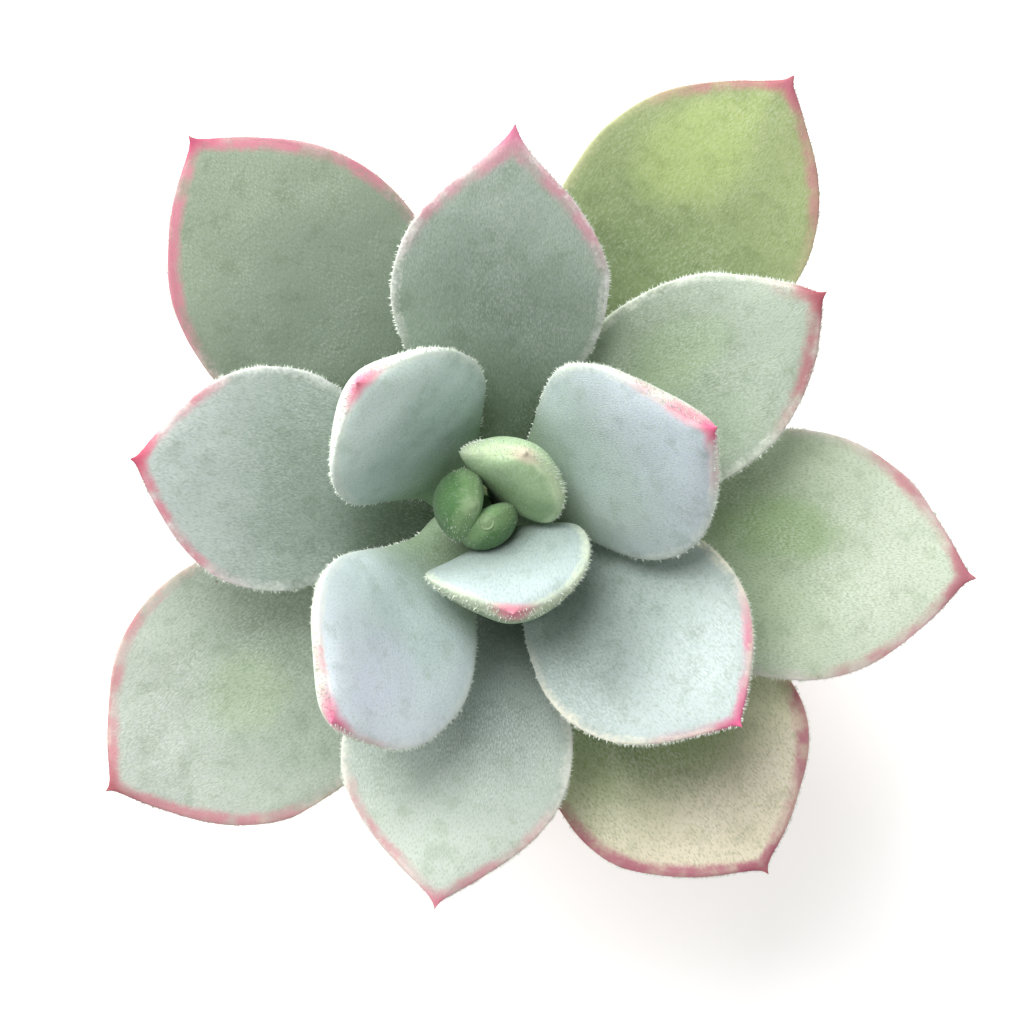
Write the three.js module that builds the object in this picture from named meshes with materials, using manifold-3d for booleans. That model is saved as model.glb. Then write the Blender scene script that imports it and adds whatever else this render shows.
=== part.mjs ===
// A potted echeveria: a plain tapered pot, its potting mix, a short stem and a rosette of fleshy leaves.
// Millimetres and degrees, +Z up. The origin is the centre of the pot's underside, where it stands.
import * as THREE from "three";
import { mergeVertices } from "three/addons/utils/BufferGeometryUtils.js";
import Module from "manifold-3d";

// ---- Fit ----
const CLEARANCE = 0.3; // between any two pieces that touch

// ---- Pot ----
const POT_HEIGHT = 50;
const POT_RIM_RADIUS = 29;
const POT_RIM_BAND = 11; // height of the thicker band round the top
const POT_RIM_STEP = 1.8; // how far the band stands out from the wall below it
const POT_FOOT_RADIUS = 20.5;
const POT_WALL = 3.2;
const POT_FLOOR = 5.5;
const POT_EDGE = 0.9; // bevel on the rim's and foot's edges
const DRAIN_HOLES = 3;
const DRAIN_HOLE_RADIUS = 1.9;
const DRAIN_CIRCLE_RADIUS = 11;
const DRAIN_SEGMENTS = 16;
const ROUND_SEGMENTS = 48;

// ---- Potting mix ----
const MIX_BELOW_RIM = 8;
const MIX_MOUND = 1.4; // how much higher the mix stands at the stem than at the wall
const MOUND_SHARES = [1, 0.7, 0.35, 0]; // of the mix's radius, where its top has its rings

// ---- Stem ----
const STEM_FOOT_RADIUS = 4.6;
const STEM_TOP_RADIUS = 1.3;
const STEM_IN_MIX = 14;
const ROOT_TIP_RADIUS = 1.6;
const STEM_SEGMENTS = 20;
const FIRST_LEAF_ABOVE_MIX = 6.5;

// ---- Leaves ----
// The four rings of leaves, from the oldest and lowest leaf to the youngest. In each leaf:
// turn: where it grows, anticlockwise from +X. length and width: of the blade.
// thick: at the fleshiest. base: width at the stem. widest: how far along it is widest, as a share.
// cup: how far the margins stand above the middle. point: sharpness of the outline near the tip.
// plump: share of its thickness that lies above the level of its margins.
// rise and tipRise: slope of its middle line at the stem and at the tip. sway: how far it veers sideways.
// roll: twist towards the tip. gap: height of stem from this leaf to the next.
const RINGS = {
  outer_leaf: {
    shared: { thick: 4.4, base: 10, cup: 1.2, plump: 0.18, gap: 1.6, colour: 0xa3b094 },
    leaves: [
      { turn: -49, length: 49, width: 30.5, widest: 0.66, rise: 22, tipRise: 8, sway: -6 },
      { turn: 54, length: 56.5, width: 28.5, widest: 0.65, rise: 22, tipRise: 8 },
      { turn: -141, length: 49.5, width: 31, widest: 0.6, rise: 24, tipRise: 8, sway: -4 },
      { turn: -9, length: 53, width: 28.5, widest: 0.63, rise: 25, tipRise: 8, sway: 2 },
      { turn: 128, length: 50, width: 29.5, widest: 0.57, rise: 25, tipRise: 8 },
    ],
  },
  middle_leaf: {
    shared: { thick: 4.7, base: 9, cup: 1.2, plump: 0.2, gap: 1.55, colour: 0xa9b9a6 },
    leaves: [
      { turn: -94, length: 43.5, width: 26, widest: 0.6, rise: 32, tipRise: 14, sway: -5, point: 1.25 },
      { turn: 29.5, length: 45, width: 22.5, widest: 0.58, rise: 35, tipRise: 18, sway: 5 },
      { turn: 172, length: 39, width: 25, widest: 0.6, rise: 40, tipRise: 18 },
      { turn: -36, length: 39, width: 25, widest: 0.6, rise: 42, tipRise: 22, sway: -8 },
      { turn: 84.5, length: 43, width: 24, widest: 0.58, rise: 38, tipRise: 20, point: 1.5, base: 8 },
    ],
  },
  inner_leaf: {
    shared: { thick: 6, base: 8, cup: 0.4, plump: 0.26, gap: 1.6, point: 0.9, colour: 0xb9c9c6 },
    leaves: [
      { turn: -122, length: 36, width: 22, widest: 0.6, rise: 48, tipRise: 50, sway: -5, roll: -32 },
      { turn: 18.5, length: 35.5, width: 24.4, widest: 0.58, rise: 50, tipRise: 50, roll: 26, point: 1.4 },
      { turn: 130, length: 26.8, width: 21, widest: 0.54, rise: 54, tipRise: 58, sway: 10, cup: 0.8 },
    ],
  },
  heart_leaf: {
    shared: { thick: 6.2, base: 3, cup: 0.2, plump: 0.28, gap: 1, widest: 0.54, point: 0.9, colour: 0xa2b69a },
    leaves: [
      { turn: -56, length: 19.5, width: 18.4, rise: 68, tipRise: 54, sway: -38, cup: 1.6, gap: 2.4 },
      { turn: 33, length: 15, width: 12.6, rise: 78, tipRise: 60, sway: 42, cup: 0.7 },
      { turn: 168, length: 9.5, width: 6.8, thick: 4.4, rise: 92, tipRise: 106 },
      { turn: -60, length: 7.4, width: 5.6, thick: 3.2, base: 2.4, rise: 88, tipRise: 96 },
    ],
  },
};

// ---- Leaf form, shared by all leaves ----
// Shares of the length where the leaf has its sections, closer together towards the tip.
const STATIONS = [0, 0.07, 0.16, 0.27, 0.38, 0.49, 0.6, 0.7, 0.79, 0.865, 0.92, 0.955, 0.978, 0.992];
const ACROSS = [0, 0.32, 0.63, 0.93]; // of the half width, where the section has its points
const WAIST_START = 0.15; // share of the way to the widest place before the blade flares
const WAIST_REACH = 0.75; // and the share over which it flares
const TIP_ROUNDNESS = 2.4; // how long the outline stays full beyond its widest place
const MUCRO_SHARE = 0.04; // of the length, in the small hard point at the tip
const MUCRO_WIDTH = 0.9; // of its own length, at its root
const TIP_PLUMPNESS = 0.75; // of the thickness to the width near the very tip
const HEEL_SHARE = 0.78; // of the full thickness, at the stem
const TIP_THINNING = 0.3; // share of the thickness that the blade loses towards its end
const FACE_FLATNESS = 4; // power of the curve over the face: higher is flatter, with rounder shoulders
const KEEL_POWER = 2.2; // powers of the curve under the keel
const KEEL_ROUNDNESS = 0.6;
const MIDLINE_STEPS = 24; // between two stations

const wasm = await Module();
wasm.setup();

const radians = THREE.MathUtils.degToRad;
const smoothstep = (x) => THREE.MathUtils.smoothstep(x, 0, 1);

// Every leaf with its name and what its ring gives it.
const LEAVES = Object.entries(RINGS).flatMap(([ring, { shared, leaves }]) =>
  leaves.map((own, i) => ({ sway: 0, roll: 0, point: 1, ...shared, ...own, name: `${ring}_${i + 1}` })),
);

function solidFrom(geometry) {
  const bare = geometry.clone();
  bare.deleteAttribute("normal");
  bare.deleteAttribute("uv");
  const merged = mergeVertices(bare, 1e-4);
  const vertProperties = new Float32Array(merged.attributes.position.array);
  const triVerts = new Uint32Array(merged.index.array);
  return new wasm.Manifold(new wasm.Mesh({ numProp: 3, vertProperties, triVerts }));
}

function geometryFrom(solid) {
  const mesh = solid.getMesh();
  const geometry = new THREE.BufferGeometry();
  geometry.setAttribute("position", new THREE.BufferAttribute(mesh.vertProperties, 3));
  geometry.setIndex(new THREE.BufferAttribute(mesh.triVerts, 1));
  geometry.computeVertexNormals();
  return geometry;
}

// A solid of revolution about Z from a closed outline of [radius, height] points, given anticlockwise.
function turned(outline, segments) {
  const points = outline.map(([radius, height]) => new THREE.Vector2(radius, height));
  return new THREE.LatheGeometry(points, segments).rotateX(Math.PI / 2);
}

// ---- Leaf ----
// How far a station lies beyond the widest place, as a share of the way to where the blade ends.
function beyondWidest(leaf, s) {
  const bladeEnd = 1 - MUCRO_SHARE / 2;
  return THREE.MathUtils.clamp((s - leaf.widest) / (bladeEnd - leaf.widest), 0, 1);
}

function halfWidth(leaf, s) {
  const full = leaf.width / 2;
  if (s <= leaf.widest) {
    const flare = smoothstep((s / leaf.widest - WAIST_START) / WAIST_REACH);
    return leaf.base / 2 + (full - leaf.base / 2) * flare;
  }
  const blade = full * (1 - beyondWidest(leaf, s) ** TIP_ROUNDNESS) ** leaf.point;
  const mucro = (MUCRO_WIDTH / 2) * Math.min(1 - s, MUCRO_SHARE) * leaf.length;
  return Math.hypot(blade, mucro);
}

function thickness(leaf, s) {
  const along = HEEL_SHARE + (1 - HEEL_SHARE) * smoothstep(s / leaf.widest);
  const fleshy = leaf.thick * along * (1 - TIP_THINNING * beyondWidest(leaf, s) ** 2);
  const tapering = 2 * halfWidth(leaf, s) * TIP_PLUMPNESS;
  return 1 / Math.hypot(1 / fleshy, 1 / tapering);
}

// The middle line's place and directions at each station: it leaves the stem at rise and ends at tipRise.
function midline(leaf) {
  const places = [];
  const point = new THREE.Vector3();
  let from = 0;
  for (const s of [...STATIONS, 1]) {
    for (let i = 0; i < MIDLINE_STEPS; i++) {
      const middle = from + ((i + 0.5) / MIDLINE_STEPS) * (s - from);
      point.addScaledVector(directions(leaf, middle).along, ((s - from) / MIDLINE_STEPS) * leaf.length);
    }
    places.push({ s, point: point.clone(), ...directions(leaf, s) });
    from = s;
  }
  return places;
}

function directions(leaf, s) {
  const slope = radians(leaf.rise + (leaf.tipRise - leaf.rise) * s);
  const heading = radians(leaf.sway * s);
  const level = Math.cos(slope);
  const along = new THREE.Vector3(level * Math.cos(heading), level * Math.sin(heading), Math.sin(slope));
  const across = new THREE.Vector3(-Math.sin(heading), Math.cos(heading), 0);
  across.applyAxisAngle(along, radians(leaf.roll * s));
  return { along, across, up: along.clone().cross(across) };
}

// One closed section, as [share of the half width, height] points: over the face and back under the keel.
function section(leaf, s) {
  const deep = thickness(leaf, s);
  const lift = leaf.cup * (halfWidth(leaf, s) / (leaf.width / 2)) ** 2;
  const face = (v) => lift * v ** 2 + leaf.plump * deep * (1 - v ** FACE_FLATNESS);
  const belly = (v) => (1 - Math.abs(v) ** KEEL_POWER) ** KEEL_ROUNDNESS;
  const keel = (v) => lift * v ** 2 - (1 - leaf.plump) * deep * belly(v);
  const right = ACROSS.map((v) => -v).reverse();
  const left = ACROSS.slice(1);
  const over = [...right, ...left].map((v) => [v, face(v)]);
  const under = [...right, ...left].reverse().map((v) => [v, keel(v)]);
  return [[-1, lift], ...over, [1, lift], ...under];
}

function leafGeometry(leaf) {
  const places = midline(leaf);
  const tip = places.pop().point;
  const vertices = [];
  for (const { s, point, across, up } of places) {
    const half = halfWidth(leaf, s);
    for (const [v, height] of section(leaf, s)) {
      vertices.push(point.clone().addScaledVector(across, v * half).addScaledVector(up, height));
    }
  }
  const count = vertices.length / places.length;
  const heel = new THREE.Vector3();
  vertices.slice(0, count).forEach((vertex) => heel.addScaledVector(vertex, 1 / count));
  const heelIndex = vertices.push(heel) - 1;
  const tipIndex = vertices.push(tip) - 1;
  const faces = [];
  for (let j = 0; j < count; j++) {
    const next = (j + 1) % count;
    faces.push(heelIndex, j, next);
    for (let i = 0; i < places.length - 1; i++) {
      const a = i * count + j;
      const b = i * count + next;
      faces.push(a, a + count, b, b, a + count, b + count);
    }
    const last = (places.length - 1) * count;
    faces.push(last + j, tipIndex, last + next);
  }
  const geometry = new THREE.BufferGeometry().setFromPoints(vertices);
  geometry.setIndex(faces);
  geometry.computeVertexNormals();
  return geometry;
}

// ---- Pot ----
const bandBottom = POT_HEIGHT - POT_RIM_BAND;
const wallTopRadius = POT_RIM_RADIUS - POT_RIM_STEP;
const outerRadius = (z) => POT_FOOT_RADIUS + ((wallTopRadius - POT_FOOT_RADIUS) * z) / bandBottom;
const innerRadius = (z) => outerRadius(Math.min(z, bandBottom)) - POT_WALL;

function potGeometry() {
  const outline = [
    [0, 0],
    [POT_FOOT_RADIUS - POT_EDGE, 0],
    [outerRadius(POT_EDGE), POT_EDGE],
    [wallTopRadius, bandBottom],
    [POT_RIM_RADIUS - POT_EDGE / 2, bandBottom],
    [POT_RIM_RADIUS, bandBottom + POT_EDGE],
    [POT_RIM_RADIUS, POT_HEIGHT - POT_EDGE],
    [POT_RIM_RADIUS - POT_EDGE, POT_HEIGHT],
    [innerRadius(bandBottom) + POT_EDGE, POT_HEIGHT],
    [innerRadius(bandBottom), POT_HEIGHT - POT_EDGE],
    [innerRadius(bandBottom), bandBottom],
    [innerRadius(POT_FLOOR), POT_FLOOR],
    [0, POT_FLOOR],
  ];
  let pot = solidFrom(turned(outline, ROUND_SEGMENTS));
  for (let i = 0; i < DRAIN_HOLES; i++) {
    const angle = (i / DRAIN_HOLES) * 2 * Math.PI + Math.PI / 2;
    const length = 3 * POT_FLOOR;
    const hole = new THREE.CylinderGeometry(DRAIN_HOLE_RADIUS, DRAIN_HOLE_RADIUS, length, DRAIN_SEGMENTS);
    hole.rotateX(Math.PI / 2);
    hole.translate(DRAIN_CIRCLE_RADIUS * Math.cos(angle), DRAIN_CIRCLE_RADIUS * Math.sin(angle), 0);
    pot = pot.subtract(solidFrom(hole));
  }
  return geometryFrom(pot);
}

// ---- Potting mix ----
const mixTop = POT_HEIGHT - MIX_BELOW_RIM;
const mixShoulder = Math.min(bandBottom, mixTop);
const mixCrown = mixTop + MIX_MOUND;
const mixBottom = POT_FLOOR + CLEARANCE;

function mixGeometry() {
  const wall = (z) => innerRadius(z) - CLEARANCE;
  const outline = [
    [0, mixBottom],
    [wall(mixBottom), mixBottom],
    [wall(mixShoulder), mixShoulder],
    ...MOUND_SHARES.map((share) => [share * wall(mixTop), mixTop + MIX_MOUND * (1 - share ** 2)]),
  ];
  const bed = solidFrom(turned(outline, ROUND_SEGMENTS));
  return geometryFrom(bed.subtract(solidFrom(stemGeometry(CLEARANCE))));
}

// ---- Stem ----
const leafGaps = LEAVES.slice(0, -1).map((leaf) => leaf.gap);
const firstLeafHeight = mixCrown + FIRST_LEAF_ABOVE_MIX;
const stemTop = firstLeafHeight + leafGaps.reduce((sum, gap) => sum + gap, 0);

function stemRadius(z) {
  const share = THREE.MathUtils.clamp((z - mixCrown) / (stemTop - mixCrown), 0, 1);
  return STEM_FOOT_RADIUS + (STEM_TOP_RADIUS - STEM_FOOT_RADIUS) * share;
}

function stemGeometry(grow) {
  const rootTip = mixCrown - STEM_IN_MIX;
  const outline = [
    [0, rootTip - grow],
    [ROOT_TIP_RADIUS + grow, rootTip - grow],
    [STEM_FOOT_RADIUS + grow, mixCrown - STEM_IN_MIX / 3],
    [STEM_FOOT_RADIUS + grow, mixCrown],
    [stemRadius(firstLeafHeight) + grow, firstLeafHeight],
    [STEM_TOP_RADIUS + grow, stemTop],
    [STEM_TOP_RADIUS / 2 + grow, stemTop + STEM_TOP_RADIUS / 2],
    [0, stemTop + STEM_TOP_RADIUS / 2 + grow],
  ];
  return turned(outline, STEM_SEGMENTS);
}

// ---- Assembly ----
function piece(name, geometry, colour, roughness) {
  const material = new THREE.MeshStandardMaterial({ color: colour, roughness, metalness: 0 });
  const mesh = new THREE.Mesh(geometry, material);
  mesh.name = name;
  return mesh;
}

// A leaf's heel is flat, so it stands off far enough for its upper edge to clear the stem.
function leafPiece(leaf, height) {
  const rise = radians(leaf.rise);
  const heel = section(leaf, 0).map(([, level]) => level);
  const lowest = height + Math.min(...heel) * Math.cos(rise);
  const out = stemRadius(lowest) + CLEARANCE + Math.max(...heel) * Math.sin(rise);
  const turn = radians(leaf.turn);
  const mesh = piece(leaf.name, leafGeometry(leaf), leaf.colour, 0.75);
  mesh.position.set(out * Math.cos(turn), out * Math.sin(turn), height);
  mesh.rotation.z = turn;
  return mesh;
}

const plant = new THREE.Group();
plant.add(piece("pot", potGeometry(), 0xb5704e, 0.9));
plant.add(piece("potting_mix", mixGeometry(), 0x4a3a2e, 1));
plant.add(piece("stem", stemGeometry(0), 0x9aa583, 0.8));
LEAVES.forEach((leaf, i) => {
  const climbed = LEAVES.slice(0, i).reduce((sum, older) => sum + older.gap, 0);
  plant.add(leafPiece(leaf, firstLeafHeight + climbed));
});

export default plant;
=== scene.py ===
"""A young succulent in a clay pot: velvety leaves, a short stem, potting mix and the pot, in metres."""
import math

import bpy
import numpy as np
from mathutils import Matrix, Vector, noise


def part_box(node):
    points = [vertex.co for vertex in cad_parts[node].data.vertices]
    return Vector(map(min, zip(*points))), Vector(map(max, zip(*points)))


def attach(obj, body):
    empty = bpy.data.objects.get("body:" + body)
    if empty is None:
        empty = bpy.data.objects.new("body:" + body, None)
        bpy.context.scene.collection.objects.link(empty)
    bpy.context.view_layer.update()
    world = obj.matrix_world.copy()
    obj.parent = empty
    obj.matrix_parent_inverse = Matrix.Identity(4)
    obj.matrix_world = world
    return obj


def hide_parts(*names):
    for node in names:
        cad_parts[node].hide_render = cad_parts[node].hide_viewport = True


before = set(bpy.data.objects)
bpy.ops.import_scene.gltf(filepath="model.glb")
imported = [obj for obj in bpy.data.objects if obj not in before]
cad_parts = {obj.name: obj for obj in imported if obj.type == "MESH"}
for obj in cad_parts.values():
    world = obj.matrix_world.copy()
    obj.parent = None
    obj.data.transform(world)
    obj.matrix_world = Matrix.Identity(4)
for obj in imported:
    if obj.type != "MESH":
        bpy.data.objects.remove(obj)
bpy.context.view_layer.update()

MM = 0.001


# ---- Selecting and finishing pieces ----
def only(piece):
    """Deselects everything, then selects this piece and makes it the active one."""
    if bpy.context.mode != "OBJECT":
        bpy.ops.object.mode_set(mode="OBJECT")
    bpy.ops.object.select_all(action="DESELECT")
    piece.select_set(True)
    bpy.context.view_layer.objects.active = piece


def new_piece(name, points, edges=(), faces=()):
    mesh = bpy.data.meshes.new(name)
    mesh.from_pydata([tuple(point) for point in points], list(edges), list(faces))
    piece = bpy.data.objects.new(name, mesh)
    bpy.context.scene.collection.objects.link(piece)
    only(piece)
    return piece


def finish_with(piece, kind, **settings):
    """Adds a modifier with these settings and applies it."""
    only(piece)
    modifier = piece.modifiers.new(kind.title(), kind)
    for key, value in settings.items():
        setattr(modifier, key, value)
    bpy.ops.object.modifier_apply(modifier=modifier.name)


def smooth(piece):
    piece.data.polygons.foreach_set("use_smooth", [True] * len(piece.data.polygons))


def settle(piece, material):
    """Gives a piece its material and its body."""
    piece.data.materials.clear()
    piece.data.materials.append(material)
    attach(piece, "root")


def points_of(piece):
    points = np.empty(3 * len(piece.data.vertices))
    piece.data.vertices.foreach_get("co", points)
    return points.reshape(-1, 3)


def put_points(piece, points):
    piece.data.vertices.foreach_set("co", np.ascontiguousarray(points, dtype=float).ravel())
    piece.data.update()


def turned(name, outline, steps):
    """A solid of revolution about Z from an outline of (radius, height) points that closes on the axis."""
    points = [(radius, 0, height) for radius, height in outline]
    piece = new_piece(name, points, edges=[(i, i + 1) for i in range(len(points) - 1)])
    bpy.ops.object.mode_set(mode="EDIT")
    bpy.ops.mesh.select_all(action="SELECT")
    bpy.ops.mesh.spin(steps=steps, angle=2 * math.pi, center=(0, 0, 0), axis=(0, 0, 1))
    bpy.ops.mesh.select_all(action="SELECT")
    bpy.ops.mesh.remove_doubles(threshold=1e-6)
    bpy.ops.mesh.normals_make_consistent(inside=False)
    bpy.ops.object.mode_set(mode="OBJECT")
    return piece


# ---- Materials ----
FLESH_RADIUS = (0.9, 1.0, 0.5)  # how far red, green and blue light spread in a fleshy leaf or stem
HEEL_TONE_AND_SHADE = 0.75  # a leaf's shades are deepened by these, times the leaf's own depth; the darker heel is partly painted shade, the paler far end partly painted light
MIDDLE_DEPTH = 0.9
FAR_TONE_AND_LIGHT = 1.1
BLUSH_DEPTH = 0.78
PALEST = 0.93  # no part of a deepened colour goes above this

# What shows in a leaf's skin, from broad clouds to the finest hairs.
CLOUD_SIZE = 9 * MM
BLUSH_GAP_SIZE = 3.4 * MM
MOTTLE_SIZE = 2.6 * MM
DUST_SIZE = 0.4 * MM
GRAIN_SIZE = 0.14 * MM
FUZZ_SIZE = 0.12 * MM
GRAIN_STRETCH = (1.0, 0.38, 1.0)  # rows of hairs are drawn out along the blade
SPECK_SPACING = 9 * MM
SPECK_RADIUS = 0.2 * MM
LEAF_SHIFT = 0.37  # moves the patterns on from one leaf to the next


def tint(code):
    """A linear colour from a hex code."""
    channels = [int(code[i:i + 2], 16) / 255 for i in (0, 2, 4)]
    return [c / 12.92 if c <= 0.04045 else ((c + 0.055) / 1.055) ** 2.4 for c in channels] + [1.0]


def deepened(code, depth):
    """A colour made deeper, or paler where depth is over 1."""
    return [min(PALEST, c * depth) for c in tint(code)[:3]] + [1.0]


class Wire:
    """An output socket that does sums: each operator adds a Math node."""

    def __init__(self, look, socket):
        self.look = look
        self.socket = socket

    def sum(self, operation, first, second=0.0):
        return self.look.node("ShaderNodeMath", {"operation": operation}, {0: first, 1: second})

    def __add__(self, other):
        return self.sum("ADD", self, other)

    def __radd__(self, other):
        return self.sum("ADD", other, self)

    def __sub__(self, other):
        return self.sum("SUBTRACT", self, other)

    def __rsub__(self, other):
        return self.sum("SUBTRACT", other, self)

    def __mul__(self, other):
        return self.sum("MULTIPLY", self, other)

    def __rmul__(self, other):
        return self.sum("MULTIPLY", other, self)

    def __pow__(self, other):
        return self.sum("POWER", self, other)

    def __abs__(self):
        return self.sum("ABSOLUTE", self)


class Look:
    """A material with its node tree. node() adds any node; most of the rest are names for common ones."""

    def __init__(self, name, **constants):
        self.material = bpy.data.materials.new(name)
        self.material.use_nodes = True
        self.tree = self.material.node_tree
        self.shader = self.tree.nodes["Principled BSDF"]
        for name, value in constants.items():
            self.shader.inputs[name.replace("_", " ")].default_value = value

    def node(self, kind, settings=None, sockets=None, output=0):
        made = self.tree.nodes.new(kind)
        for key, value in (settings or {}).items():
            if key == "stops":
                self.set_stops(made.color_ramp.elements, value)
            else:
                setattr(made, key, value)
        for key, value in (sockets or {}).items():
            self.plug(made.inputs[key], value)
        return Wire(self, made.outputs[output])

    def set_stops(self, elements, stops):
        while len(elements) < len(stops):
            elements.new(1.0)
        for element, (place, colour) in zip(elements, stops):
            element.position = place
            element.color = colour

    def plug(self, socket, value):
        if isinstance(value, Wire):
            self.tree.links.new(value.socket, socket)
        else:
            socket.default_value = value

    def set(self, **sockets):
        for name, value in sockets.items():
            self.plug(self.shader.inputs[name.replace("_", " ")], value)

    def place(self):
        return self.node("ShaderNodeTexCoord", output="Object")

    def attribute(self, name, output="Fac"):
        return self.node("ShaderNodeAttribute", {"attribute_name": name}, output=output)

    def noise(self, size, detail=2.0, roughness=0.5, shift=0.0, at=None):
        """Noise from 0 to 1 whose lumps are about this size. shift moves the pattern elsewhere."""
        at = at or self.place()
        offset = (shift, 2 * shift, -shift)
        moved = self.node("ShaderNodeVectorMath", {"operation": "ADD"}, {0: at, 1: offset})
        sockets = {"Vector": moved, "Scale": 1 / size, "Detail": detail, "Roughness": roughness}
        return self.node("ShaderNodeTexNoise", {}, sockets)

    def specks(self, spacing, radius, shift=0.0):
        """1 inside small round specks, 0 elsewhere."""
        at = self.place()
        offset = (shift, -shift, shift)
        moved = self.node("ShaderNodeVectorMath", {"operation": "ADD"}, {0: at, 1: offset})
        sockets = {"Vector": moved, "Scale": 1 / spacing}
        far = self.node("ShaderNodeTexVoronoi", {}, sockets, output="Distance")
        return self.step(far, radius / spacing, 0.4 * radius / spacing)

    def step(self, value, low, high):
        """A smooth change from 0 to 1 as value goes from low to high, or back if low is the greater."""
        start, end, flip = (low, high, False) if low < high else (high, low, True)
        settings = {"interpolation_type": "SMOOTHSTEP"}
        sockets = {"Value": value, "From Min": start, "From Max": end}
        if flip:
            sockets.update({"To Min": 1.0, "To Max": 0.0})
        return self.node("ShaderNodeMapRange", settings, sockets)

    def blend(self, share, first, second, mode="MIX"):
        """first where share is 0, second where it is 1."""
        settings = {"data_type": "RGBA", "blend_type": mode, "clamp_factor": True}
        return self.node("ShaderNodeMix", settings, {0: share, 6: first, 7: second}, output=2)

    def bump(self, height, distance, strength=1.0):
        sockets = {"Height": height, "Distance": distance, "Strength": strength}
        return self.node("ShaderNodeBump", {}, sockets)


class LeafLook(Look):
    """A velvety leaf: deep at the heel, partly as painted shade, frosted over the blade, blushing along its
    margins.

    along, across, side, inset and blade are what mark_leaf says of each place on the leaf.
    """

    def __init__(self, name, shades, number):
        super().__init__(
            name,
            Subsurface_Weight=0.15,
            Subsurface_Radius=FLESH_RADIUS,
            Subsurface_Scale=1.2 * MM,
            Sheen_Weight=0.12,
            Sheen_Roughness=0.5,
            Sheen_Tint=tint("F2F8F4"),
            Specular_IOR_Level=0.3,
        )
        self.shades = shades
        self.shift = LEAF_SHIFT * number
        self.along = self.attribute("along")
        self.across = self.attribute("across")
        self.side = self.attribute("side")
        self.inset = self.attribute("inset")
        self.cloud = self.noise(CLOUD_SIZE, 3.0, 0.55, self.shift)
        self.mottle = self.noise(MOTTLE_SIZE, 4.0, 0.6, self.shift + 0.1)
        self.wander = (self.cloud - 0.5) * 0.9 + (self.mottle - 0.5) * 0.5
        blade = self.attribute("blade", "Vector")
        rows = self.node("ShaderNodeVectorMath", {"operation": "MULTIPLY"}, {0: blade, 1: GRAIN_STRETCH})
        self.grain = self.noise(GRAIN_SIZE, 2.0, 0.55, self.shift, rows)
        fuzz = self.noise(FUZZ_SIZE, 1.0, 0.5, self.shift + 0.2)

        colour = self.body()
        deep = self.blend(1.0, colour, tint("B9C4B0"), "MULTIPLY")
        colour = self.blend(self.step(self.mottle, 0.5, 0.68) * 0.3, colour, deep)
        colour = self.with_back(colour)
        colour = self.with_grain(colour, deep)
        colour = self.with_margins(colour)
        colour = self.with_specks(colour)
        relief = self.bump(self.grain * 0.7 + fuzz * 0.3, 0.1 * MM, 0.75)
        self.set(Base_Color=colour, Roughness=0.66 + 0.2 * fuzz, Normal=relief)

    def body(self):
        """A dark heel, partly painted shade, then the middle and the far end, paler partly as painted
        light, with paler sides as a painted highlight, then oval patches.
        """
        depth = self.shades["depth"]
        # The heel is deepened partly as painted shade, and the far end paled partly as painted light.
        heel = deepened(self.shades["heel"], depth * HEEL_TONE_AND_SHADE)
        middle = deepened(self.shades["middle"], depth * MIDDLE_DEPTH)
        far = deepened(self.shades["far"], depth * FAR_TONE_AND_LIGHT)
        drift = self.along + self.wander * 0.12
        colour = self.blend(self.step(drift, 0.18, 0.46), heel, middle)
        colour = self.blend(self.step(drift, 0.5, 0.86), colour, far)
        # The sides are paled towards the far end's shade: a painted highlight for the leaf's rounded edges.
        painted_lit_sides = self.step(abs(self.across) + self.wander * 0.25, 0.3, 0.95)
        painted_lit_sides = painted_lit_sides * self.step(self.along, 0.25, 0.5)
        colour = self.blend(painted_lit_sides * 0.35, colour, far)
        for place, shade, share in self.shades["patches"]:
            colour = self.blend(self.spot(*place) * share, colour, tint(shade))
        return colour

    def spot(self, along, across, length, width):
        """1 in the middle of an oval patch at this place on the leaf, fading to 0."""
        far_along = (self.along - along) * (1 / length)
        far_across = (self.across - across) * (1 / width)
        return self.step(far_along * far_along + far_across * far_across + self.wander, 1.15, 0.1)

    def with_back(self, colour):
        """The back of a leaf has a shade of its own, without patches."""
        back = deepened(self.shades["back"], self.shades["depth"])
        return self.blend(self.step(self.side, 0.15, -0.35) * 0.9, colour, back)

    def with_grain(self, colour, deep):
        """Rows of tiny hairs, light on a deeper skin."""
        frost = self.shades["frost"]
        pale = self.blend(0.45, colour, tint("FFFFFF"))
        frosted = 0.12 + 0.65 * frost * self.step(self.cloud, 0.4, 0.65)
        colour = self.blend(self.step(self.grain, 0.5, 0.66) * frosted, colour, pale)
        return self.blend(self.step(self.grain, 0.48, 0.34) * (0.2 + 0.45 * frost), colour, deep)

    def with_margins(self, colour):
        """A pale rim, a blush just inside it, the rim again on the outermost edge, then the tip's point."""
        shades = self.shades
        dust = self.noise(DUST_SIZE, 2.0, 0.6, self.shift + 0.4)
        ragged = self.inset + (self.mottle - 0.5) * 1.4 * MM + (dust - 0.5) * 1.1 * MM
        rim = tint(shades["rim"])
        edge = self.step(ragged, 1.1 * MM, 0.1 * MM) * self.step(self.along, 0.3, 0.55)
        colour = self.blend(edge * shades["rim_share"], colour, rim)
        blush = deepened(shades["blush"], BLUSH_DEPTH)
        colour = self.blend(self.blush_cover(ragged) * shades["blush_share"], colour, blush)
        halo = self.step(ragged, 0.45 * MM, 0.0) * self.step(self.along, 0.93, 0.84)
        halo = halo * self.step(self.along, 0.3, 0.55)
        colour = self.blend(halo * max(0.0, 2.5 * shades["rim_share"] - 1.25), colour, rim)
        point = self.step(self.along - self.inset * 8 + self.wander * 0.03, 0.92, 0.98)
        return self.blend(point * shades["point_share"], colour, deepened(shades["point"], BLUSH_DEPTH))

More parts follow.
